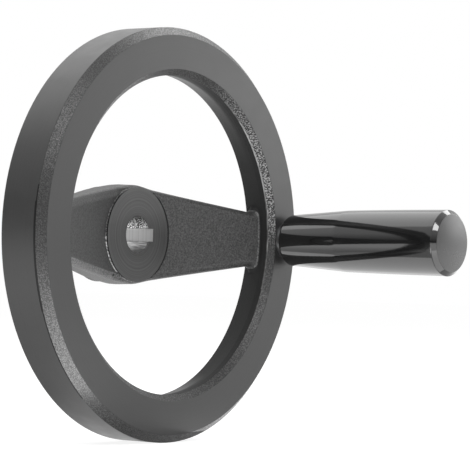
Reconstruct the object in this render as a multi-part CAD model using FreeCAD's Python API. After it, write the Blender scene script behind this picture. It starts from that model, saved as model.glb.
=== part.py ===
import FreeCAD, Part

import math
import os

# Machine handwheel with two spokes and a revolving grip, in millimetres.
# The wheel turns about Y. Its planed front, with the grip, looks towards -Y, and Z is up.
# The origin is on the bore's axis, in the hub's back face. The spokes lie along X.

os.makedirs("parts", exist_ok=True)

# Rim
RIM_DIAMETER = 160.0
RIM_WIDTH = 20.0
RIM_THICKNESS = 18.5
RIM_OUTER_CHAMFER = 3.1
RIM_INNER_CHAMFER = 2.4
RIM_THROAT_DEPTH = 5.0
RIM_INNER_DEPTH = 14.3
RIM_WALL_DRAFT = 9.0
RIM_BACK_CHAMFER = 1.0
RIM_INNER_BACK_CHAMFER = 0.8

# Hub
HUB_SETBACK = 20.0
HUB_LENGTH = 20.0
HUB_DIAMETER = 39.2
HUB_FACE_DIAMETER = 37.0
HUB_FACE_STEP = 1.0
HUB_BACK_DIAMETER = 37.4
HUB_BACK_BOSS = 5.5
CAST_DRAFT = 2.0

# Bore and keyway
BORE_DIAMETER = 14.0
BORE_CHAMFER = 0.4
KEYWAY_WIDTH = 5.0
KEYWAY_HEIGHT = 16.3

# Spokes
SPOKE_TAPER = 7.9
SPOKE_RIM_DEPTH = 6.0
SPOKE_RIM_THICKNESS = 7.6
SPOKE_EDGE_ROUND = 3.0
SPOKE_BACK_ROUND = 2.5
SPOKE_FLARE = 2.0
SPOKE_ROOT = 1.5
SPOKE_OVERLAP = 0.3

# Handle
HANDLE_INSET = 8.5
HANDLE_LENGTH = 80.0
THREAD_DIAMETER = 10.0
THREAD_LENGTH = 16.0
THREAD_CHAMFER = 0.8
THREAD_CLEARANCE = 0.05
COUNTERSINK = 0.6
COLLAR_DIAMETER = 15.0
COLLAR_THICKNESS = 2.4
SOCKET_WIDTH = 5.0
SOCKET_DEPTH = 6.0
JOURNAL_DIAMETER = 10.0
JOURNAL_LENGTH = 62.0
JOURNAL_CHAMFER = 0.8

# Grip
GRIP_PLAY = 0.2
GRIP_CLEARANCE = 0.1
GRIP_FOOT_DIAMETER = 20.6
GRIP_FOOT_ROUND = 1.8
GRIP_KNEE_DIAMETER = 24.8
GRIP_KNEE_HEIGHT = 31.0
GRIP_BARREL_DIAMETER = 25.6
GRIP_DIAMETER = 26.0
GRIP_END_CHAMFER = 1.7
GRIP_DOME = 0.9
GRIP_BORE_REACH = 3.0

# Snap ring
RING_SETBACK = 5.0
RING_WIDTH = 1.2
RING_GROOVE_DIAMETER = 8.0
RING_OUTER_DIAMETER = 11.8
RING_GAP = 3.0
RING_SIDE_PLAY = 0.1
RING_CLEARANCE = 0.1

# Worked out from the sizes above
OVERALL = HUB_SETBACK + HUB_LENGTH
RIM_RADIUS = RIM_DIAMETER / 2
THROAT_RADIUS = RIM_RADIUS - RIM_THICKNESS
HANDLE_RADIUS = RIM_RADIUS - HANDLE_INSET
HUB_RADIUS = HUB_DIAMETER / 2
WALL_SLOPE = math.tan(math.radians(RIM_WALL_DRAFT))
DRAFT_SLOPE = math.tan(math.radians(CAST_DRAFT))
TAPER = math.radians(SPOKE_TAPER)
AXIS = FreeCAD.Vector(0, 1, 0)
SAME_PLACE = 0.01


def place(radius, depth):
    """A point of a turned profile: its radius, and its depth behind the rim's planed face."""
    return FreeCAD.Vector(radius, depth - OVERALL, 0)


def towards(start, end, distance):
    """The point that lies this far from start on the way to end."""
    step = end.sub(start)
    step.normalize()
    return start.add(step.multiply(distance))


def corner_flats(before, corner, after, radius):
    """The ends and middle of the round of this radius in a corner, which two flats follow."""
    half = before.sub(corner).getAngle(after.sub(corner)) / 2
    first = towards(corner, before, radius / math.tan(half))
    last = towards(corner, after, radius / math.tan(half))
    centre = towards(corner, first.add(last).multiply(0.5), radius / math.sin(half))
    return first, towards(centre, corner, radius), last


def profile(corners, bulges=None):
    """A closed wire through (point, radius) corners, each broken by two flats if it has a radius.

    bulges gives, by the index of the corner before it, a point that a curved side passes through.
    """
    edges = []
    joints = []
    count = len(corners)
    for index, (corner, radius) in enumerate(corners):
        if radius:
            before = corners[index - 1][0]
            after = corners[(index + 1) % count][0]
            joints.append(corner_flats(before, corner, after, radius))
        else:
            joints.append((corner, None, corner))
    for index, (first, middle, last) in enumerate(joints):
        if middle:
            edges.append(Part.makeLine(first, middle))
            edges.append(Part.makeLine(middle, last))
        following = joints[(index + 1) % count][0]
        if bulges and index in bulges:
            edges.append(Part.Arc(last, bulges[index], following).toShape())
        else:
            edges.append(Part.makeLine(last, following))
    return Part.Wire(edges)


def turned(corners, centre=FreeCAD.Vector(0, 0, 0), bulges=None):
    """The solid that a profile sweeps round the Y axis, moved to this centre."""
    solid = Part.Face(profile(corners, bulges)).revolve(FreeCAD.Vector(0, 0, 0), AXIS, 360)
    solid.translate(centre)
    return solid


def rod(diameter, start_depth, end_depth, x=0.0):
    """A cylinder along Y between two depths."""
    base = FreeCAD.Vector(x, start_depth - OVERALL, 0)
    return Part.makeCylinder(diameter / 2, end_depth - start_depth, base, AXIS)


def wall_radius(depth):
    """The radius of the rim's inner wall, which opens towards the back behind the throat."""
    return THROAT_RADIUS + WALL_SLOPE * max(0.0, depth - RIM_THROAT_DEPTH)


def rim():
    """The rim: planed ring, chamfers, turned outside, sloping back, drafted wall and throat."""
    inner_edge = RIM_INNER_DEPTH - RIM_INNER_BACK_CHAMFER
    return turned([
        (place(THROAT_RADIUS + RIM_INNER_CHAMFER, 0), 0),
        (place(RIM_RADIUS - RIM_OUTER_CHAMFER, 0), 0),
        (place(RIM_RADIUS, RIM_OUTER_CHAMFER), 0),
        (place(RIM_RADIUS, RIM_WIDTH - RIM_BACK_CHAMFER), 0),
        (place(RIM_RADIUS - RIM_BACK_CHAMFER, RIM_WIDTH), 0),
        (place(wall_radius(RIM_INNER_DEPTH) + RIM_INNER_BACK_CHAMFER, RIM_INNER_DEPTH), 0),
        (place(wall_radius(inner_edge), inner_edge), 0),
        (place(THROAT_RADIUS, RIM_THROAT_DEPTH), 0),
        (place(THROAT_RADIUS, RIM_INNER_CHAMFER), 0),
    ])


def spoke_front(radius):
    """The depth of the spokes' front surface, a shallow cone from the hub up to the rim."""
    hub_edge = HUB_FACE_DIAMETER / 2
    rise = (HUB_SETBACK + HUB_FACE_STEP - SPOKE_RIM_DEPTH) / (THROAT_RADIUS - hub_edge)
    return SPOKE_RIM_DEPTH + rise * (THROAT_RADIUS - radius)


def spoke_back(radius):
    """The depth of the spokes' back surface, a steeper cone, so that they thicken to the hub."""
    hub_edge = HUB_BACK_DIAMETER / 2
    rim_depth = SPOKE_RIM_DEPTH + SPOKE_RIM_THICKNESS
    rise = (OVERALL - HUB_BACK_BOSS - rim_depth) / (THROAT_RADIUS - hub_edge)
    return rim_depth + rise * (THROAT_RADIUS - radius)


def web_outline(depth, parting_depth):
    """The upper half outline of hub and spokes at one depth, its sides tangent to the hub."""
    hub = HUB_RADIUS - DRAFT_SLOPE * abs(depth - parting_depth)
    wall = THROAT_RADIUS + SPOKE_OVERLAP
    end = wall + SPOKE_ROOT
    across = FreeCAD.Vector(math.sin(TAPER), 0, math.cos(TAPER))
    along = FreeCAD.Vector(math.cos(TAPER), 0, -math.sin(TAPER))
    reach = math.sqrt((wall - SPOKE_FLARE) ** 2 - (hub + SPOKE_FLARE) ** 2)
    tangent = across * hub
    side_end = tangent + along * reach
    centre = side_end + across * SPOKE_FLARE
    flare_end = centre * (wall / (wall - SPOKE_FLARE))
    bend = (side_end - centre) + (flare_end - centre)
    bend.normalize()
    flare_middle = centre + bend * SPOKE_FLARE
    root = flare_end * (end / wall)
    halfway = root.getAngle(FreeCAD.Vector(1, 0, 0)) / 2
    root_middle = FreeCAD.Vector(math.cos(halfway), 0, math.sin(halfway)) * end
    crown = FreeCAD.Vector(0, 0, hub)

    def at(point, side):
        return FreeCAD.Vector(point.x * side, depth - OVERALL, point.z)

    def flank(side):
        """The tip, root, flare and straight side of one spoke, from its middle to the hub."""
        tip = FreeCAD.Vector(end, 0, 0)
        return [
            Part.Arc(at(tip, side), at(root_middle, side), at(root, side)).toShape(),
            Part.makeLine(at(root, side), at(flare_end, side)),
            Part.Arc(at(flare_end, side), at(flare_middle, side), at(side_end, side)).toShape(),
            Part.makeLine(at(side_end, side), at(tangent, side)),
        ]

    top = Part.Arc(at(tangent, 1), at(crown, 1), at(tangent, -1)).toShape()
    base = Part.makeLine(at(FreeCAD.Vector(end, 0, 0), -1), at(FreeCAD.Vector(end, 0, 0), 1))
    return Part.Wire(flank(1) + [top] + flank(-1)[::-1] + [base])


def on_surface(edge, surface):
    """Whether an edge lies everywhere at the depth that the surface has at its radius."""
    return all(
        abs(point.y + OVERALL - surface(math.hypot(point.x, point.z))) < SAME_PLACE
        for point in edge.discretize(5)
    )


def runs_along_spoke(edge):
    """Whether an edge is the long straight side of a spoke, seen from the front."""
    middle = edge.discretize(3)[1]
    return middle.z > SPOKE_FLARE and HUB_RADIUS < abs(middle.x) < THROAT_RADIUS - SPOKE_FLARE


def web():
    """Hub and spokes as cast: drafted both ways from the parting plane, with rounded edges."""
    parting = HUB_SETBACK + HUB_LENGTH / 2
    levels = [web_outline(depth, parting) for depth in (0.0, parting, OVERALL)]
    blank = Part.makeLoft(levels[:2], True, True).fuse(Part.makeLoft(levels[1:], True, True))
    end = THROAT_RADIUS + 2 * SPOKE_ROOT
    envelope = turned([
        (place(0, HUB_SETBACK + HUB_FACE_STEP), 0),
        (place(HUB_FACE_DIAMETER / 2, HUB_SETBACK + HUB_FACE_STEP), 0),
        (place(end, spoke_front(end)), 0),
        (place(end, spoke_back(end)), 0),
        (place(HUB_BACK_DIAMETER / 2, OVERALL - HUB_BACK_BOSS), 0),
        (place(HUB_BACK_DIAMETER / 2, OVERALL), 0),
        (place(0, OVERALL), 0),
    ])
    half = blank.common(envelope)
    front = [edge for edge in half.Edges if on_surface(edge, spoke_front) and runs_along_spoke(edge)]
    half = half.makeFillet(SPOKE_EDGE_ROUND, front[:1])
    back = [edge for edge in half.Edges if on_surface(edge, spoke_back) and runs_along_spoke(edge)]
    half = half.makeFillet(SPOKE_BACK_ROUND, back)
    return half.fuse(half.mirror(FreeCAD.Vector(0, 0, 0), FreeCAD.Vector(0, 0, 1)))


def spindle_thread_hole():
    """The tapped hole for the handle, right through the rim, countersunk at the planed face."""
    top = THREAD_DIAMETER / 2 + THREAD_CLEARANCE
    return turned([
        (place(0, 0), 0),
        (place(top + COUNTERSINK, 0), 0),
        (place(top, COUNTERSINK), 0),
        (place(top, RIM_WIDTH), 0),
        (place(0, RIM_WIDTH), 0),
    ], FreeCAD.Vector(HANDLE_RADIUS, 0, 0))


def bore():
    """The bore with its keyway, chamfered at both ends."""
    radius = BORE_DIAMETER / 2
    hole = turned([
        (place(0, HUB_SETBACK), 0),
        (place(radius + BORE_CHAMFER, HUB_SETBACK), 0),
        (place(radius, HUB_SETBACK + BORE_CHAMFER), 0),
        (place(radius, OVERALL - BORE_CHAMFER), 0),
        (place(radius + BORE_CHAMFER, OVERALL), 0),
        (place(0, OVERALL), 0),
    ])
    start = FreeCAD.Vector(0, -HUB_LENGTH, -KEYWAY_WIDTH / 2)
    keyway = Part.makeBox(KEYWAY_HEIGHT - radius, HUB_LENGTH, KEYWAY_WIDTH, start)
    return hole.fuse(keyway)


def handwheel():
    """The whole casting with its machined faces, bore, keyway and tapped hole."""
    face = rod(HUB_FACE_DIAMETER, HUB_SETBACK, HUB_SETBACK + HUB_FACE_STEP + SPOKE_EDGE_ROUND)
    blank = rim().fuse([web(), face])
    return blank.cut([bore(), spindle_thread_hole()]).removeSplitter()


def handle_spindle():
    """The steel pin: threaded stud with a hexagon socket, collar, and journal with ring groove."""
    stud = THREAD_DIAMETER / 2
    journal = JOURNAL_DIAMETER / 2
    foot = -COLLAR_THICKNESS
    tip = foot - JOURNAL_LENGTH
    groove = tip + RING_SETBACK
    body = turned([
        (place(0, THREAD_LENGTH), 0),
        (place(stud - THREAD_CHAMFER, THREAD_LENGTH), 0),
        (place(stud, THREAD_LENGTH - THREAD_CHAMFER), 0),
        (place(stud, 0), 0),
        (place(COLLAR_DIAMETER / 2, 0), 0),
        (place(COLLAR_DIAMETER / 2, foot), 0),
        (place(journal, foot), 0),
        (place(journal, groove + RING_WIDTH + 2 * RING_SIDE_PLAY), 0),
        (place(RING_GROOVE_DIAMETER / 2, groove + RING_WIDTH + 2 * RING_SIDE_PLAY), 0),
        (place(RING_GROOVE_DIAMETER / 2, groove), 0),
        (place(journal, groove), 0),
        (place(journal, tip + JOURNAL_CHAMFER), 0),
        (place(journal - JOURNAL_CHAMFER, tip), 0),
        (place(0, tip), 0),
    ], FreeCAD.Vector(HANDLE_RADIUS, 0, 0))
    return body.cut(hexagon_socket())


def hexagon_socket():
    """The six-sided hole in the stud's end, through which the spindle is screwed home."""
    corner = SOCKET_WIDTH / 2 / math.cos(math.radians(30))
    points = []
    for index in range(7):
        angle = math.radians(60 * index)
        points.append(FreeCAD.Vector(
            HANDLE_RADIUS + corner * math.cos(angle),
            THREAD_LENGTH - OVERALL,
            corner * math.sin(angle),
        ))
    return Part.Face(Part.makePolygon(points)).extrude(FreeCAD.Vector(0, -SOCKET_DEPTH, 0))


def snap_ring():
    """The split ring that sits half in the spindle's groove and half in the grip's."""
    front = -COLLAR_THICKNESS - JOURNAL_LENGTH + RING_SETBACK + RING_SIDE_PLAY
    ring = rod(RING_OUTER_DIAMETER, front, front + RING_WIDTH, HANDLE_RADIUS)
    inner = RING_GROOVE_DIAMETER + 2 * RING_CLEARANCE
    ring = ring.cut(rod(inner, front, front + RING_WIDTH, HANDLE_RADIUS))
    corner = FreeCAD.Vector(HANDLE_RADIUS, front - OVERALL, -RING_GAP / 2)
    return ring.cut(Part.makeBox(RING_OUTER_DIAMETER, RING_WIDTH, RING_GAP, corner))


def dome_middle():
    """The point of the grip's domed end halfway between its axis and its edge."""
    edge = GRIP_DIAMETER / 2 - GRIP_END_CHAMFER
    sphere = (edge ** 2 + GRIP_DOME ** 2) / (2 * GRIP_DOME)
    radius = edge / 2
    return place(radius, sphere - HANDLE_LENGTH - math.sqrt(sphere ** 2 - radius ** 2))


def grip():
    """The moulded grip: rounded foot, cone up to the knee, barrel, chamfer and domed closed end."""
    foot = -COLLAR_THICKNESS - GRIP_PLAY
    blind = -COLLAR_THICKNESS - JOURNAL_LENGTH - GRIP_BORE_REACH
    hole = JOURNAL_DIAMETER / 2 + GRIP_CLEARANCE
    groove = RING_OUTER_DIAMETER / 2 + RING_CLEARANCE
    groove_end = -COLLAR_THICKNESS - JOURNAL_LENGTH + RING_SETBACK
    groove_start = groove_end + RING_WIDTH + 2 * RING_SIDE_PLAY
    dome_edge = GRIP_DOME - HANDLE_LENGTH
    barrel_end = dome_edge + GRIP_END_CHAMFER
    barrel_middle = place(GRIP_BARREL_DIAMETER / 2, (barrel_end - GRIP_KNEE_HEIGHT) / 2)
    body = turned([
        (place(0, foot), 0),
        (place(GRIP_FOOT_DIAMETER / 2, foot), GRIP_FOOT_ROUND),
        (place(GRIP_KNEE_DIAMETER / 2, -GRIP_KNEE_HEIGHT), 0),
        (place(GRIP_DIAMETER / 2, barrel_end), 0),
        (place(GRIP_DIAMETER / 2 - GRIP_END_CHAMFER, dome_edge), 0),
        (dome_middle(), 0),
        (place(0, -HANDLE_LENGTH), 0),
    ], FreeCAD.Vector(HANDLE_RADIUS, 0, 0), {2: barrel_middle})
    cavity = turned([
        (place(0, foot), 0),
        (place(hole, foot), 0),
        (place(hole, groove_start), 0),
        (place(groove, groove_start), 0),
        (place(groove, groove_end), 0),
        (place(hole, groove_end), 0),
        (place(hole, blind), 0),
        (place(0, blind), 0),
    ], FreeCAD.Vector(HANDLE_RADIUS, 0, 0))
    return body.cut(cavity)


for node, build in (
    ("handwheel", handwheel),
    ("handle_spindle", handle_spindle),
    ("snap_ring", snap_ring),
    ("grip", grip),
):
    solid = build()
    print(node, solid.isValid(), round(solid.Volume, 1), len(solid.Solids), len(solid.Faces))
    solid.exportStep("parts/" + node + ".step")
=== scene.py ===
import math

import bmesh
import bpy
from mathutils import Matrix, Vector


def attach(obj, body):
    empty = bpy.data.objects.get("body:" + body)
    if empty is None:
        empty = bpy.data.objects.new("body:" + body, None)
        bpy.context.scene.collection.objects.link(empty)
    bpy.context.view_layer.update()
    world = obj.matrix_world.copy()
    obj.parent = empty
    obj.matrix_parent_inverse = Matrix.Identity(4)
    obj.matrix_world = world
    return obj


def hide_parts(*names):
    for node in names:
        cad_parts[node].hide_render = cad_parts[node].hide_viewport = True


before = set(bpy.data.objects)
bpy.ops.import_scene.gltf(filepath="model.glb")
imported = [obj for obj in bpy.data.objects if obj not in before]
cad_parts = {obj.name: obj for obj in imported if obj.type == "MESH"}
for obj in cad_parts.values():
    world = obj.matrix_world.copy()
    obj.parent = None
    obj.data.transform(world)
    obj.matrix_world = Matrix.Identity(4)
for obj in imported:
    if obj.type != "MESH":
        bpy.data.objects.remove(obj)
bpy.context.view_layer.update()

# Sizes of the wheel, in metres. A depth is a distance behind the rim's front, along the bore.
FRONT = -0.040
RIM_RADIUS = 0.080
OUTER_CHAMFER = 0.0031
THROAT_RADIUS = 0.0615
INNER_CHAMFER = 0.0024
DISC_RADIUS = 0.0185
DISC_DEPTH = 0.020
HUB_BACK_RADIUS = 0.0187
HUB_BACK_DEPTH = 0.040
BORE_RADIUS = 0.007
KEYWAY_REACH = 0.0093
KEYWAY_HALF_WIDTH = 0.0025

# Sizes of the grip, in metres. Its heights count from the rim's front towards its end.
HANDLE_X = 0.0715
GRIP_BORE_RADIUS = 0.0051
GRIP_BORE_END = 0.0674
GRIP_FOOT = 0.0026
GRIP_FOOT_RADIUS = 0.0103
GRIP_FOOT_ROUND = 0.0018
GRIP_KNEE = 0.031
GRIP_KNEE_RADIUS = 0.0124
GRIP_KNEE_ROUND = 0.030
GRIP_SWELL = 0.0001
GRIP_RADIUS = 0.013
GRIP_END = 0.080
GRIP_END_CHAMFER = 0.0017
GRIP_EDGE_ROUND = 0.0006
GRIP_DOME = 0.0009

# How far a zone of the casting's material reaches past its surface, because the mesh's flats lie a little
# off the true one: for a face or the bore, for the rim's outer cylinder, and for the throat's wall.
SKIN = 0.00003
CYLINDER_SKIN = 0.00005
THROAT_SKIN = 0.0003

# Painted highlight and shade lines on the casting, each between two radii and between two depths, and the Z
# that some keep to.
WIDE_EDGE_LINE = (0.0797, 0.0801, 0.0029, 0.0038)
WIDE_EDGE_LINE_Z = (-0.030, 0.010)
THIN_EDGE_LINE = (0.0797, 0.0801, 0.0030, 0.0035)
THIN_EDGE_LINE_Z = (-0.062, 0.016)
THROAT_HIGHLIGHT = (0.0612, 0.06168, 0.0022, 0.0027)
THROAT_HIGHLIGHT_END_Z = -0.020
SPOKE_END_HIGHLIGHT = (0.0604, 0.0611, 0.0055, 0.0075)
LOW_CORNER_HIGHLIGHT = (0.0590, 0.0602, 0.0055, 0.0080)
LOW_CORNER_HIGHLIGHT_Z = (-0.0138, -0.0112)
STEP_SIDE_SHADE = (0.0184, 0.0186, 0.02003, 0.0206)
STEP_HIGHLIGHT = (0.0184, 0.0189, 0.0206, 0.0212)
BRIGHTEST_HIGHLIGHT_Z = (-0.0150, -0.0010)
STEP_SHADE = (0.0186, 0.0203, 0.0203, 0.0211)

# Painted shadow spots beside the hub's disc, each an X, a Z and a radius, and the depth that they lie in
# front of.
SHADOW_SPOTS = ((0.0108, 0.0165, 0.0005), (0.0108, -0.0164, 0.0004), (-0.0131, -0.0160, 0.0006))
SHADOW_SPOT_DEPTH = 0.024

# The X beyond which the rim is on the handle's side.
HANDLE_SIDE_X = 0.030

# Values of a noise at which its spots are fully dark and fully light, from the sharpest to the softest.
GLITTER = (0.47, 0.53)
SPARKS = (0.50, 0.57)
FLECKS = (0.46, 0.58)
SPECKLE = (0.44, 0.60)
GRAIN = (0.42, 0.60)
# For the painted highlight lines on the casting's edges.
HIGHLIGHT_FLECKS = (0.40, 0.60)
STREAKS = (0.38, 0.62)
CAST_SKIN = (0.38, 0.66)
CLOUDS = (0.30, 0.70)

# The darkest grey of the coat, used for painted shade in the shadow spots, on the disc's step and in the
# rim's edge line, and between the inner chamfer's sparks.
SHADE = 0.003

# The camera, fitted to the ellipses of the photo. It looks at the rim's front from DISTANCE metres.
FOCAL_PX = 2500.0
IMAGE_PX = 470.0
SENSOR_MM = 36.0
AZIMUTH = math.radians(-53.205)
ELEVATION = math.radians(-0.998)
ROLL = math.radians(1.596)
DISTANCE = 0.962
SLIDE_X = 0.021739
SLIDE_Z = 0.000083
CLIP_START = 0.05
CLIP_END = 50.0


def make_camera():
    back = Vector((
        math.sin(AZIMUTH) * math.cos(ELEVATION),
        -math.cos(AZIMUTH) * math.cos(ELEVATION),
        math.sin(ELEVATION),
    ))
    flat_right = Vector((math.cos(AZIMUTH), math.sin(AZIMUTH), 0))
    flat_up = back.cross(flat_right)
    right = math.cos(ROLL) * flat_right + math.sin(ROLL) * flat_up
    up = -math.sin(ROLL) * flat_right + math.cos(ROLL) * flat_up
    centre = SLIDE_X * right + SLIDE_Z * up + DISTANCE * back + Vector((0, FRONT, 0))
    data = bpy.data.cameras.new("camera")
    data.sensor_width = SENSOR_MM
    data.lens = FOCAL_PX * SENSOR_MM / IMAGE_PX
    data.clip_start = CLIP_START
    data.clip_end = CLIP_END
    camera = bpy.data.objects.new("camera", data)
    bpy.context.scene.collection.objects.link(camera)
    axes = Matrix((right, up, back)).transposed().to_4x4()
    camera.matrix_world = Matrix.Translation(centre) @ axes
    bpy.context.scene.camera = camera


# Helpers for node trees


def grey(value, blue=1.0):
    """A grey whose blue is this many times its red and green."""
    return (value, value, value * blue, 1.0)


class Tree:
    """A material's or world's node tree, with short calls to add to it."""

    def __init__(self, owner):
        owner.use_nodes = True
        self.nodes = owner.node_tree.nodes
        self.links = owner.node_tree.links
        self.nodes.clear()

    def put(self, socket, value):
        """Links a socket to this output, or sets this value on it."""
        if isinstance(value, bpy.types.NodeSocket):
            self.links.new(value, socket)
        else:
            socket.default_value = value

    def add(self, kind, settings=None, **inputs):
        """Adds a node. An input's name has _ for each space."""
        node = self.nodes.new(kind)
        for name, value in (settings or {}).items():
            setattr(node, name, value)
        for name, value in inputs.items():
            self.put(node.inputs[name.replace("_", " ")], value)
        return node

    def point(self):
        """The surface point in its object's own metres, which are the row frame's for the part at rest."""
        return self.add("ShaderNodeTexCoord").outputs["Object"]

    def split(self, vector):
        return self.add("ShaderNodeSeparateXYZ", Vector=vector).outputs

    def vector(self, x, y, z):
        return self.add("ShaderNodeCombineXYZ", X=x, Y=y, Z=z).outputs[0]

    def math(self, operation, *values):
        node = self.nodes.new("ShaderNodeMath")
        node.operation = operation
        for socket, value in zip(node.inputs, values):
            self.put(socket, value)
        return node.outputs[0]

    def plus(self, first, second):
        return self.math("ADD", first, second)

    def minus(self, first, second):
        return self.math("SUBTRACT", first, second)

    def times(self, first, second):
        return self.math("MULTIPLY", first, second)

    def absolute(self, value):
        return self.math("ABSOLUTE", value)

    def length(self, first, second):
        """The length of the line with these two sides."""
        return self.math("SQRT", self.plus(self.times(first, first), self.times(second, second)))

    def ripple(self, value, pitch):
        """A wave from -1 to 1."""
        return self.math("SINE", self.times(value, 2 * math.pi / pitch))

    def distance(self, point, centre):
        node = self.add("ShaderNodeVectorMath", {"operation": "DISTANCE"})
        for socket, value in zip(node.inputs, (point, centre)):
            self.put(socket, value)
        return node.outputs["Value"]

    def below(self, value, limit):
        return self.math("LESS_THAN", value, limit)

    def above(self, value, limit):
        return self.math("GREATER_THAN", value, limit)

    def between(self, value, low, high):
        return self.both(self.above(value, low), self.below(value, high))

    def both(self, *masks):
        """The mask where all of these are."""
        result = masks[0]
        for mask in masks[1:]:
            result = self.times(result, mask)
        return result

    def either(self, *masks):
        """The mask where any of these is."""
        result = masks[0]
        for mask in masks[1:]:
            result = self.math("MAXIMUM", result, mask)
        return result

    def remap(self, value, low, high, new_low, new_high):
        """From new_low where the value is at low to new_high where it is at high, and level beyond them."""
        node = self.nodes.new("ShaderNodeMapRange")
        for socket, item in zip(node.inputs, (value, low, high, new_low, new_high)):
            self.put(socket, item)
        return node.outputs[0]

    def rise(self, value, low, high):
        return self.remap(value, low, high, 0.0, 1.0)

    def merge(self, data_type, factor, first, second):
        """The first where the factor is 0, the second where it is 1."""
        node = self.nodes.new("ShaderNodeMix")
        node.data_type = data_type
        sockets = [socket for socket in node.inputs if socket.enabled]
        for socket, value in zip(sockets, (factor, first, second)):
            self.put(socket, value)
        return [socket for socket in node.outputs if socket.enabled][0]

    def mix(self, factor, first, second):
        """Merges two colours."""
        return self.merge("RGBA", factor, first, second)

    def blend(self, factor, first, second):
        """Merges two numbers."""
        return self.merge("FLOAT", factor, first, second)

    def noise(self, vector, scale, detail=2.0, roughness=0.5):
        """A cloud of values round 0.5, with about this many to the metre."""
        node = self.add(
            "ShaderNodeTexNoise",
            Vector=vector, Scale=scale, Detail=detail, Roughness=roughness,
        )
        return node.outputs["Fac"]

    def spots(self, noise, levels, dark, light):
        """Dark grey where the noise is below the first level, light grey where it is above the second."""
        return self.mix(self.rise(noise, *levels), grey(dark), grey(light))

    def bump(self, height, distance, normal=None):
        node = self.add("ShaderNodeBump", Strength=1.0, Distance=distance, Height=height)
        if normal is not None:
            self.put(node.inputs["Normal"], normal)
        return node.outputs["Normal"]

    def surface(self, **inputs):
        """Ends the tree in the plain shader with these inputs."""
        shader = self.add("ShaderNodeBsdfPrincipled", **inputs)
        self.add("ShaderNodeOutputMaterial", Surface=shader.outputs[0])


# The coated casting


class Place:
    """A point's row frame coordinates, its radius from the bore's axis and its depth."""

    def __init__(self, tree):
        self.tree = tree
        self.point = tree.point()
        self.x, y, self.z = tree.split(self.point)
        self.radius = tree.length(self.x, self.z)
        self.depth = tree.minus(y, FRONT)

    def ring(self, inner, outer, start, end):
        """The mask between two radii and between two depths."""
        within = self.tree.between(self.radius, inner, outer)
        return self.tree.both(within, self.tree.between(self.depth, start, end))

    def face(self, inner, outer, depth):
        """The mask of a flat ring at this depth."""
        return self.ring(inner, outer, depth - SKIN, depth + SKIN)

    def gap(self, x, z):
        """How far the point is from this one in the front view."""
        return self.tree.length(self.tree.minus(self.x, x), self.tree.minus(self.z, z))

    def shadow_spot(self, x, z, radius):
        """The mask of a small round painted shadow spot."""
        return self.tree.both(self.tree.below(self.gap(x, z), radius), self.tree.below(self.depth, SHADOW_SPOT_DEPTH))


class Noises:
    """The noises that the casting's colour, roughness and height share."""

    def __init__(self, tree, at):
        self.grain = tree.noise(at.point, 2300.0, 2.0, 0.6)
        self.sparks = tree.noise(at.point, 2000.0, 1.0)
        self.coarse = tree.noise(at.point, 1500.0, 3.0, 0.6)
        self.mottle = tree.noise(at.point, 160.0, 3.0, 0.6)
        across = tree.vector(tree.plus(at.radius, at.depth), 0.0, 0.0)
        self.turning = tree.noise(across, 1400.0, 3.0, 0.6)


class Zones:
    """The masks of the casting's differently finished surfaces, and of the painted highlights and painted
    shade on it.
    """

    def __init__(self, tree, at):
        cylinder_inside = RIM_RADIUS - CYLINDER_SKIN
        throat_inside = THROAT_RADIUS - THROAT_SKIN
        wall_radius = 0.0655
        behind_rim = 0.030
        self.planed = at.face(THROAT_RADIUS, RIM_RADIUS, 0.0)
        self.disc = at.face(0.0, DISC_RADIUS + SKIN, DISC_DEPTH)
        back_disc = at.face(0.0, HUB_BACK_RADIUS, HUB_BACK_DEPTH)
        self.machined = tree.either(self.planed, self.disc, back_disc, tree.above(at.radius, cylinder_inside))
        self.outer_chamfer = at.ring(RIM_RADIUS - OUTER_CHAMFER, cylinder_inside, SKIN, OUTER_CHAMFER)
        self.inner_chamfer = at.ring(throat_inside, THROAT_RADIUS + INNER_CHAMFER, SKIN, INNER_CHAMFER)
        self.speckled = tree.either(self.outer_chamfer, self.inner_chamfer)
        self.wall = at.ring(throat_inside, wall_radius, INNER_CHAMFER, behind_rim)
        self.bare = bore_zone(tree, at)

        handle_side = tree.above(at.x, HANDLE_SIDE_X)
        above_end = tree.above(at.z, THROAT_HIGHLIGHT_END_Z)
        self.throat_highlight = tree.both(at.ring(*THROAT_HIGHLIGHT), handle_side, above_end)
        self.spoke_end_highlight = tree.both(at.ring(*SPOKE_END_HIGHLIGHT), handle_side)
        self.low_corner_highlight = tree.both(at.ring(*LOW_CORNER_HIGHLIGHT), handle_side, tree.between(at.z, *LOW_CORNER_HIGHLIGHT_Z))
        self.step_highlight = tree.both(at.ring(*STEP_HIGHLIGHT), tree.below(at.x, 0.0))
        # Painted shadow spots in the corners beside the disc's step.
        shadow_spots = [at.shadow_spot(*shadow_spot) for shadow_spot in SHADOW_SPOTS]
        # Painted shade: the disc's step and shadow crescent, the rim's dark edge line and the shadow spots.
        self.shaded = tree.either(step_shade(tree, at), edge_shade_line(tree, at), *shadow_spots)


def bore_zone(tree, at):
    """The bare metal of the bore and its keyway."""
    across = tree.below(tree.absolute(at.z), KEYWAY_HALF_WIDTH + SKIN)
    keyway = tree.both(tree.between(at.x, 0.0, KEYWAY_REACH + SKIN), across)
    opening = tree.either(tree.below(at.radius, BORE_RADIUS + SKIN), keyway)
    return tree.both(opening, tree.between(at.depth, DISC_DEPTH - SKIN, HUB_BACK_DEPTH + SKIN))


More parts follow.
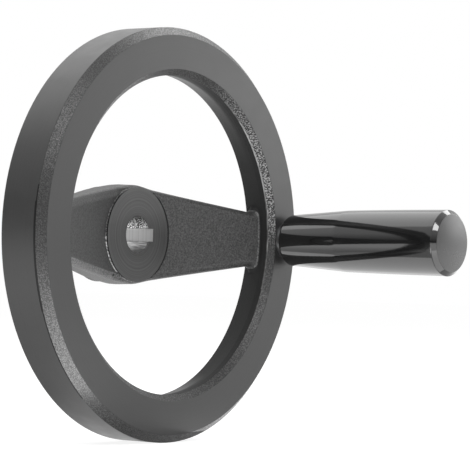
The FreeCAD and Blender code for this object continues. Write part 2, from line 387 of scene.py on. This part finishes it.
def step_shade(tree, at):
    """Painted shade: a dark line on the side of the hub's disc, and a painted shadow crescent behind the disc
    on the handle's side.
    """
    # The painted shadow is the disc's outline shifted towards the handle.
    shadow_offset_x = 0.0014
    shadow_radius = 0.01868
    painted_shadow = tree.both(
        at.ring(*STEP_SHADE),
        tree.above(at.x, 0.0),
        tree.below(at.gap(shadow_offset_x, 0.0), shadow_radius),
    )
    return tree.either(at.ring(*STEP_SIDE_SHADE), painted_shadow)


def edge_shade_line(tree, at):
    """Painted shade: a dark line between the outer cylinder and the chamfer, widest beside the left spoke."""
    wide = tree.both(at.ring(*WIDE_EDGE_LINE), tree.between(at.z, *WIDE_EDGE_LINE_Z))
    thin = tree.both(at.ring(*THIN_EDGE_LINE), tree.between(at.z, *THIN_EDGE_LINE_Z))
    return tree.both(tree.either(wide, thin), tree.below(at.x, 0.0))


def bore_colour(tree, at):
    """Sparkling with painted glints above the keyway, streaked along the bore below it and across it in the
    keyway.
    """
    drawn_out = 0.1
    margin = 0.0001
    above_keyway = tree.above(at.z, KEYWAY_HALF_WIDTH + margin)
    keyway_floor = tree.above(at.x, KEYWAY_REACH - margin)
    sparks = tree.noise(at.point, 1900.0, 1.0)
    along = tree.noise(tree.vector(at.x, tree.times(at.depth, drawn_out), at.z), 2300.0)
    across = tree.noise(tree.vector(0.0, at.depth, 0.0), 1300.0)
    streaks = tree.spots(along, STREAKS, 0.30, 0.72)
    colour = tree.mix(keyway_floor, streaks, tree.spots(across, CLOUDS, 0.50, 0.66))
    # Painted glints in the bore's upper half.
    return tree.mix(above_keyway, colour, tree.spots(sparks, GLITTER, 0.03, 1.0))


def step_highlight_colour(tree, at):
    """A painted highlight along the foot of the hub's disc, brightest at the lower left, which is lit from
    below.
    """
    highlight_noise = tree.noise(at.point, 1700.0, 1.0)
    bright = tree.between(at.z, *BRIGHTEST_HIGHLIGHT_Z)
    return tree.mix(bright, tree.spots(highlight_noise, HIGHLIGHT_FLECKS, 0.03, 0.24), tree.spots(highlight_noise, HIGHLIGHT_FLECKS, 0.10, 0.75))


def left_spoke(tree, at, coarse):
    """Mask and colour of the left spoke's front: a dished face with painted shade, darkest towards the hub,
    between two bands of painted highlight along its rounded edges.
    """
    cone_slope = 0.3488
    cone_depth = 0.0315
    hub_end = 0.0186
    rim_end = 0.0613
    past_middle = -0.004
    slant = tree.plus(at.depth, tree.times(at.radius, cone_slope))
    front = tree.both(
        tree.below(slant, cone_depth),
        tree.between(at.radius, hub_end, rim_end),
        tree.below(at.x, past_middle),
    )
    taper = 0.1388
    half_width = 0.01979
    low_band = 0.00285
    high_band = 0.0009
    blur = 0.0001
    darkening_x = (-0.035, -0.018)
    # The lighter bands are painted highlights on the spoke's rounded edges, and the darker face is painted
    # shade.
    side = tree.plus(tree.times(at.x, taper), half_width)
    from_side = tree.minus(side, tree.absolute(at.z))
    band = tree.blend(tree.above(at.z, 0.0), low_band, high_band)
    light = tree.rise(tree.minus(band, from_side), -blur, blur)
    near_rim = tree.spots(coarse, CAST_SKIN, 0.012, 0.056)
    near_hub = tree.spots(coarse, CAST_SKIN, 0.008, 0.040)
    face = tree.mix(tree.rise(at.x, *darkening_x), near_rim, near_hub)
    return front, tree.mix(light, face, tree.spots(coarse, CAST_SKIN, 0.04, 0.16))


def outer_chamfer_colour(tree, at, grain):
    """Flecked, with painted shade making it darker beside the left spoke and at the top."""
    spoke_z = 0.022
    top_z = 0.056
    beside_spoke = tree.both(tree.below(at.x, 0.0), tree.between(at.z, -spoke_z, spoke_z))
    near_top = tree.above(at.z, top_z)
    colour = tree.spots(grain, SPECKLE, 0.010, 0.060)
    # Painted shade beside the left spoke and at the top.
    colour = tree.mix(beside_spoke, colour, tree.spots(grain, FLECKS, 0.002, 0.045))
    return tree.mix(near_top, colour, tree.spots(grain, FLECKS, 0.002, 0.050))


def inner_chamfer_colour(tree, at, sparks):
    """Nearly black with sparks; their brightening on the handle's side above the middle is a painted
    highlight.
    """
    faint = 0.045
    weakest = 0.05
    strongest = 0.42
    brightening_x = (0.020, 0.054)
    brightening_z = (-0.004, 0.012)
    # Painted highlight: the sparks grow brighter towards the handle and above the middle.
    painted_glint = tree.remap(at.x, *brightening_x, weakest, strongest)
    painted_glint = tree.blend(tree.rise(at.z, *brightening_z), faint, painted_glint)
    spark = tree.times(tree.rise(sparks, *SPARKS), painted_glint)
    return tree.mix(spark, grey(SHADE), grey(1.0))


def throat_highlight_colour(tree, at, mottle):
    """A painted highlight along the throat's edge on the handle's side, brightest halfway up."""
    halfway = 0.033
    fade = (0.007, 0.016)
    from_halfway = tree.absolute(tree.minus(at.z, halfway))
    bright = tree.remap(from_halfway, *fade, 1.0, 0.0)
    return tree.mix(bright, tree.spots(mottle, HIGHLIGHT_FLECKS, 0.06, 0.24), tree.spots(mottle, HIGHLIGHT_FLECKS, 0.32, 0.65))


def casting_colour(tree, at, zones, noises):
    """The cast skin's colour, and over it each zone's own, painted highlights and painted shade among them.
    """
    half = 0.5
    coat = tree.blend(half, tree.blend(half, noises.mottle, noises.coarse), noises.turning)
    layers = (
        left_spoke(tree, at, noises.coarse),
        (zones.machined, tree.mix(coat, grey(0.014), grey(0.046))),
        (zones.planed, tree.mix(coat, grey(0.008), grey(0.028))),
        (zones.disc, tree.spots(noises.turning, STREAKS, 0.013, 0.054)),
        # Painted shade: the recessed wall of the throat is coloured darker than the cast skin.
        (zones.wall, tree.mix(noises.coarse, grey(0.003), grey(0.012))),
        (zones.outer_chamfer, outer_chamfer_colour(tree, at, noises.grain)),
        (zones.inner_chamfer, inner_chamfer_colour(tree, at, noises.sparks)),
        # Painted highlight along the throat's edge.
        (zones.throat_highlight, throat_highlight_colour(tree, at, noises.mottle)),
        # Painted highlight along the right spoke's end, where it meets the rim.
        (zones.spoke_end_highlight, tree.spots(noises.coarse, HIGHLIGHT_FLECKS, 0.06, 0.20)),
        # Painted highlight at the lower corner of the right spoke's end.
        (zones.low_corner_highlight, tree.spots(noises.grain, HIGHLIGHT_FLECKS, 0.05, 0.40)),
        # Painted shade, coloured SHADE.
        (zones.shaded, grey(SHADE)),
        # Painted highlight along the foot of the disc's step.
        (zones.step_highlight, step_highlight_colour(tree, at)),
        (zones.bare, bore_colour(tree, at)),
    )
    colour = tree.spots(noises.coarse, CAST_SKIN, 0.024, 0.088)
    for zone, own in layers:
        colour = tree.mix(zone, colour, own)
    return colour


def casting_roughness(tree, at, zones, noises):
    """The cast skin's roughness, and over it each zone's own. The wall is satin at its top and bottom."""
    towards_top = (0.030, 0.056)
    towards_bottom = (-0.054, -0.060)
    towards_back = (0.0062, 0.0082)
    ends = tree.either(tree.rise(at.z, *towards_top), tree.rise(at.z, *towards_bottom))
    satin_wall = tree.both(zones.wall, ends, tree.rise(at.depth, *towards_back))
    layers = (
        (zones.machined, tree.remap(noises.mottle, *CLOUDS, 0.34, 0.40)),
        (zones.wall, 0.78),
        (satin_wall, 0.44),
        (zones.speckled, tree.remap(noises.grain, *GRAIN, 0.55, 0.28)),
        (zones.bare, 0.28),
    )
    roughness = 0.52
    for zone, own in layers:
        roughness = tree.blend(zone, roughness, own)
    return roughness


def casting_height(tree, at, zones, noises):
    """The cast skin's relief, and over it each zone's own, in parts of the bump's distance."""
    turning_pitch = 0.00035
    reaming_pitch = 0.0004
    turning_marks = tree.times(tree.ripple(at.radius, turning_pitch), 0.008)
    fine_grain = tree.times(noises.grain, 0.14)
    disc_rings = tree.times(tree.times(noises.turning, zones.disc), 0.5)
    layers = (
        (zones.machined, tree.plus(tree.plus(turning_marks, fine_grain), disc_rings)),
        (zones.outer_chamfer, tree.times(noises.coarse, 2.2)),
        (zones.inner_chamfer, tree.times(noises.sparks, 2.6)),
        (zones.bare, tree.times(tree.ripple(at.depth, reaming_pitch), 0.05)),
    )
    height = tree.plus(tree.times(noises.grain, 0.5), tree.times(noises.coarse, 1.1))
    for zone, own in layers:
        height = tree.blend(zone, height, own)
    return height


def coated_casting():
    """Satin black coat over cast aluminium: turned, speckled, cast and bare surfaces by place, with painted
    highlights and painted shade.
    """
    bump_distance = 0.00006
    edge_radius = 0.00035
    cast_shine = 0.40
    smooth_shine = 0.5
    shaded_shine = 0.25
    material = bpy.data.materials.new("coated_casting")
    tree = Tree(material)
    at = Place(tree)
    zones = Zones(tree, at)
    noises = Noises(tree, at)
    smooth = tree.either(zones.machined, zones.speckled)
    shine = tree.blend(smooth, cast_shine, smooth_shine)
    soft_edge = tree.add("ShaderNodeBevel", {"samples": 6}, Radius=edge_radius).outputs["Normal"]
    tree.surface(
        Base_Color=casting_colour(tree, at, zones, noises),
        Metallic=zones.bare,
        Roughness=casting_roughness(tree, at, zones, noises),
        IOR=1.58,
        Specular_IOR_Level=tree.blend(zones.shaded, shine, shaded_shine),
        Normal=tree.bump(casting_height(tree, at, zones, noises), bump_distance, soft_edge),
    )
    return material


# The other materials


def turned_steel(name, base, roughness):
    """Steel of this grey, with fine turning marks along its axis."""
    turning_pitch = 0.0003
    material = bpy.data.materials.new(name)
    tree = Tree(material)
    point = tree.point()
    rings = tree.ripple(tree.split(point)["Y"], turning_pitch)
    mottle = tree.noise(point, 400.0, 3.0)
    tree.surface(
        Base_Color=tree.mix(mottle, grey(base * 0.8), grey(base * 1.1, 1.03)),
        Metallic=1.0,
        Roughness=roughness,
        Normal=tree.bump(tree.plus(rings, mottle), 0.000004),
    )
    return material


def moulded_grip():
    """Polished black moulding, duller on the dome at its end."""
    margin = 0.0001
    dome_start = GRIP_END - GRIP_DOME - margin
    material = bpy.data.materials.new("moulded_grip")
    tree = Tree(material)
    point = tree.point()
    mottle = tree.noise(point, 90.0, 3.0)
    dome = tree.below(tree.split(point)["Y"], FRONT - dome_start)
    polished = tree.remap(mottle, *CLOUDS, 0.055, 0.085)
    dull = tree.remap(mottle, *CLOUDS, 0.26, 0.34)
    tree.surface(
        Base_Color=tree.mix(mottle, grey(0.008), grey(0.014, 1.03)),
        Roughness=tree.blend(dome, polished, dull),
        IOR=1.78,
        Normal=tree.bump(tree.noise(point, 900.0), 0.000003),
    )
    return material


# The grip's mesh


def rounded(corners, steps=10):
    """The points of an open profile whose corners with a radius are turned into arcs."""
    points = []
    for index, (corner, radius) in enumerate(corners):
        if not radius:
            points.append(corner)
            continue
        before = (corners[index - 1][0] - corner).normalized()
        after = (corners[index + 1][0] - corner).normalized()
        half = before.angle(after) / 2
        reach = radius / math.tan(half)
        centre = corner + (before + after).normalized() * (radius / math.sin(half))
        start = corner + before * reach - centre
        end = corner + after * reach - centre
        for step in range(steps + 1):
            point = start.lerp(end, step / steps)
            points.append(centre + point.normalized() * radius)
    return points


def arc_drop(share, height, width):
    """How far a shallow arc of this height has fallen at this share of the width from its top."""
    sphere = (width ** 2 + height ** 2) / (2 * height)
    return sphere - math.sqrt(sphere ** 2 - (share * width) ** 2)


def grip_profile(steps=12):
    """The grip's outline as points of radius and height, from its blind bore round to its dome's top."""
    barrel_end = GRIP_END - GRIP_DOME - GRIP_END_CHAMFER
    dome_radius = GRIP_RADIUS - GRIP_END_CHAMFER
    corners = []

    def corner(radius, height, rounding=0.0):
        corners.append((Vector((radius, height, 0.0)), rounding))

    corner(0.0, GRIP_BORE_END)
    corner(GRIP_BORE_RADIUS, GRIP_BORE_END)
    corner(GRIP_BORE_RADIUS, GRIP_FOOT)
    corner(GRIP_FOOT_RADIUS, GRIP_FOOT, GRIP_FOOT_ROUND)
    corner(GRIP_KNEE_RADIUS, GRIP_KNEE, GRIP_KNEE_ROUND)
    for step in range(1, steps):
        share = step / steps
        swell = GRIP_SWELL * (1 - (2 * share - 1) ** 2)
        radius = GRIP_KNEE_RADIUS + (GRIP_RADIUS - GRIP_KNEE_RADIUS) * share + swell
        corner(radius, GRIP_KNEE + (barrel_end - GRIP_KNEE) * share)
    corner(GRIP_RADIUS, barrel_end, GRIP_EDGE_ROUND)
    corner(dome_radius, GRIP_END - GRIP_DOME, GRIP_EDGE_ROUND)
    for step in range(steps - 1, 0, -1):
        share = step / steps
        corner(dome_radius * share, GRIP_END - arc_drop(share, GRIP_DOME, dome_radius))
    corner(0.0, GRIP_END)
    return rounded(corners)


def grip_loop(mesh, radius, height, segments):
    """The vertices round the grip's axis at this radius and height: one of them on the axis itself."""
    if radius == 0.0:
        return [mesh.verts.new((HANDLE_X, FRONT - height, 0.0))]
    loop = []
    for index in range(segments):
        angle = 2 * math.pi * index / segments
        across = radius * math.cos(angle)
        up = radius * math.sin(angle)
        loop.append(mesh.verts.new((HANDLE_X + across, FRONT - height, up)))
    return loop


def join_loops(mesh, first, second, segments):
    """The faces between two loops, which meet in a point where one of them is on the axis."""
    for index in range(segments):
        following = (index + 1) % segments
        if len(first) == 1:
            face = (first[0], second[following], second[index])
        elif len(second) == 1:
            face = (first[index], first[following], second[0])
        else:
            face = (first[index], first[following], second[following], second[index])
        mesh.faces.new(face)


def new_object(name, mesh):
    """A mesh object of this bmesh, which is used up."""
    data = bpy.data.meshes.new(name)
    mesh.to_mesh(data)
    mesh.free()
    made = bpy.data.objects.new(name, data)
    bpy.context.scene.collection.objects.link(made)
    return made


def make_grip():
    """The moulded grip, turned from its profile."""
    segments = 160
    sharp = math.radians(35)
    mesh = bmesh.new()
    loops = [grip_loop(mesh, point.x, point.y, segments) for point in grip_profile()]
    for first, second in zip(loops, loops[1:]):
        join_loops(mesh, first, second, segments)
    bmesh.ops.recalc_face_normals(mesh, faces=mesh.faces)
    for face in mesh.faces:
        face.smooth = True
    for edge in mesh.edges:
        edge.smooth = edge.calc_face_angle(0.0) < sharp
    return new_object("grip_moulding", mesh)


# The stage


def floor_glow(tree):
    """How brightly the floor shows in a reflection: painted shadow dims it under the grip, and a painted pool
    of light brightens it behind the rim's face.
    """
    under_grip = (0.04, -0.08, 0.0)
    grip_reach = (0.12, 0.26)
    behind_face = (-0.018, -0.025, 0.0)
    light_patch_reach = (0.008, 0.036)
    light_patch_start_y = (-0.036, -0.031)
    point = tree.point()
    # Painted shadow under the grip, and a painted pool of light behind the rim's face.
    glow = tree.remap(tree.distance(point, under_grip), *grip_reach, 0.45, 1.2)
    painted_light_patch = tree.remap(tree.distance(point, behind_face), *light_patch_reach, 0.66, 0.0)
    started = tree.rise(tree.split(point)["Y"], *light_patch_start_y)
    return tree.plus(glow, tree.both(started, painted_light_patch))


def floor_material():
    """Pale and shadowed to the camera and in reflections, and a plain grey to all other light."""
    seen_glow = 0.86
    material = bpy.data.materials.new("floor")
    tree = Tree(material)
    path = tree.add("ShaderNodeLightPath").outputs
    shown = tree.either(path["Is Camera Ray"], path["Is Glossy Ray"], path["Is Transmission Ray"])
    strength = tree.blend(path["Is Camera Ray"], floor_glow(tree), seen_glow)
    plain = tree.add("ShaderNodeBsdfDiffuse", Color=grey(0.6))
    shadowed = tree.add("ShaderNodeBsdfDiffuse", Color=grey(0.42))
    glow = tree.add("ShaderNodeEmission", Color=grey(1.0), Strength=strength)
    pale = tree.add("ShaderNodeAddShader")
    tree.put(pale.inputs[0], shadowed.outputs[0])
    tree.put(pale.inputs[1], glow.outputs[0])
    pick = tree.add("ShaderNodeMixShader")
    tree.put(pick.inputs[0], shown)
    tree.put(pick.inputs[1], plain.outputs[0])
    tree.put(pick.inputs[2], pale.outputs[0])
    tree.add("ShaderNodeOutputMaterial", Surface=pick.outputs[0])
    return material


def make_floor():
    half_side = 6.0
    mesh = bmesh.new()
    bmesh.ops.create_grid(mesh, x_segments=1, y_segments=1, size=half_side)
    floor = new_object("floor", mesh)
    floor.location = (0, 0, -RIM_RADIUS)
    floor.data.materials.append(floor_material())


def make_world():
    """White to the camera, a soft room in reflections, and a weak even light on the part."""
    even_light = 0.315
    world = bpy.data.worlds.new("studio")
    bpy.context.scene.world = world
    tree = Tree(world)
    path = tree.add("ShaderNodeLightPath").outputs
    x, y, z = tree.split(tree.add("ShaderNodeTexCoord").outputs["Generated"])
    away = tree.plus(tree.times(x, -math.sin(AZIMUTH)), tree.times(y, math.cos(AZIMUTH)))
    backdrop = tree.remap(away, -0.3, 0.9, 0.0, 0.96)
    dark_middle = tree.remap(away, 0.45, 0.85, 0.0, 0.55)
    overhead = tree.remap(z, 0.0, 0.4, 0.0, 0.72)
    room = tree.plus(tree.minus(backdrop, dark_middle), overhead)
    mirrored = tree.either(path["Is Glossy Ray"], path["Is Transmission Ray"])
    strength = tree.blend(mirrored, even_light, room)
    strength = tree.blend(path["Is Camera Ray"], strength, 1.0)
    glow = tree.add("ShaderNodeBackground", Color=grey(1.0), Strength=strength)
    tree.add("ShaderNodeOutputWorld", Surface=glow.outputs[0])


def hang_lamp(name, size, radiance):
    """A rectangular lamp, hidden from the camera. Its radiance is its power over four areas."""
    width, height = size
    data = bpy.data.lights.new(name, "AREA")
    data.shape = "RECTANGLE"
    data.size = width
    data.size_y = height
    data.energy = 4 * width * height * radiance
    lamp = bpy.data.objects.new(name, data)
    lamp.visible_camera = False
    bpy.context.scene.collection.objects.link(lamp)
    return lamp


def make_softbox(name, direction, distance, size, radiance):
    """A lamp in this direction from the part's middle, turned towards it."""
    middle = Vector((0.02, FRONT, 0.0))
    direction = Vector(direction).normalized()
    lamp = hang_lamp(name, size, radiance)
    lamp.location = middle + direction * distance
    lamp.rotation_euler = direction.to_track_quat("Z", "Y").to_euler()


def lay_panel(name, x, y, turned, size, radiance):
    """A lamp that lies just above the floor and shines up, turned by so many degrees."""
    above_floor = 0.004
    lamp = hang_lamp(name, size, radiance)
    lamp.location = (x, y, above_floor - RIM_RADIUS)
    lamp.rotation_euler = (math.pi, 0, math.radians(turned))


def make_lamps():
    make_softbox("front_box", direction=(-0.31, -0.68, 0.66), distance=1.3, size=(0.5, 0.5), radiance=6.1)
    make_softbox("near_box", direction=(0.45, -0.34, 0.14), distance=0.58, size=(0.5, 0.36), radiance=0.36)
    make_softbox("near_spot", direction=(0.345, -0.178, 0.12), distance=0.41, size=(0.22, 0.2), radiance=1.25)
    make_softbox("top_box", direction=(0.66, -0.12, 0.74), distance=1.4, size=(0.6, 0.5), radiance=4.4)
    make_softbox("back_box", direction=(0.12, 0.60, 0.78), distance=1.4, size=(1.8, 0.6), radiance=0.7)
    lay_panel("left_panel", x=-0.108, y=-0.116, turned=45.0, size=(0.18, 0.06), radiance=3.8)
    lay_panel("grip_panel", x=0.02, y=-0.21, turned=45.0, size=(0.20, 0.07), radiance=1.0)
    lay_panel("right_panel", x=0.095, y=-0.009, turned=0.0, size=(0.17, 0.138), radiance=0.82)


# The part's pieces and their materials


def dress(node, material):
    """Gives every material slot of a CAD node this material."""
    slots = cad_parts[node].data.materials
    slots.clear()
    slots.append(material)


make_camera()
make_floor()
make_world()
make_lamps()

dress("handwheel", coated_casting())
dress("handle_spindle", turned_steel("spindle_steel", 0.30, 0.32))
dress("snap_ring", turned_steel("spring_steel", 0.26, 0.36))
black = moulded_grip()
dress("grip", black)
grip = make_grip()
grip.data.materials.append(black)
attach(grip, "revolving_grip")
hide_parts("grip")

bpy.context.scene.view_settings.view_transform = "Standard"
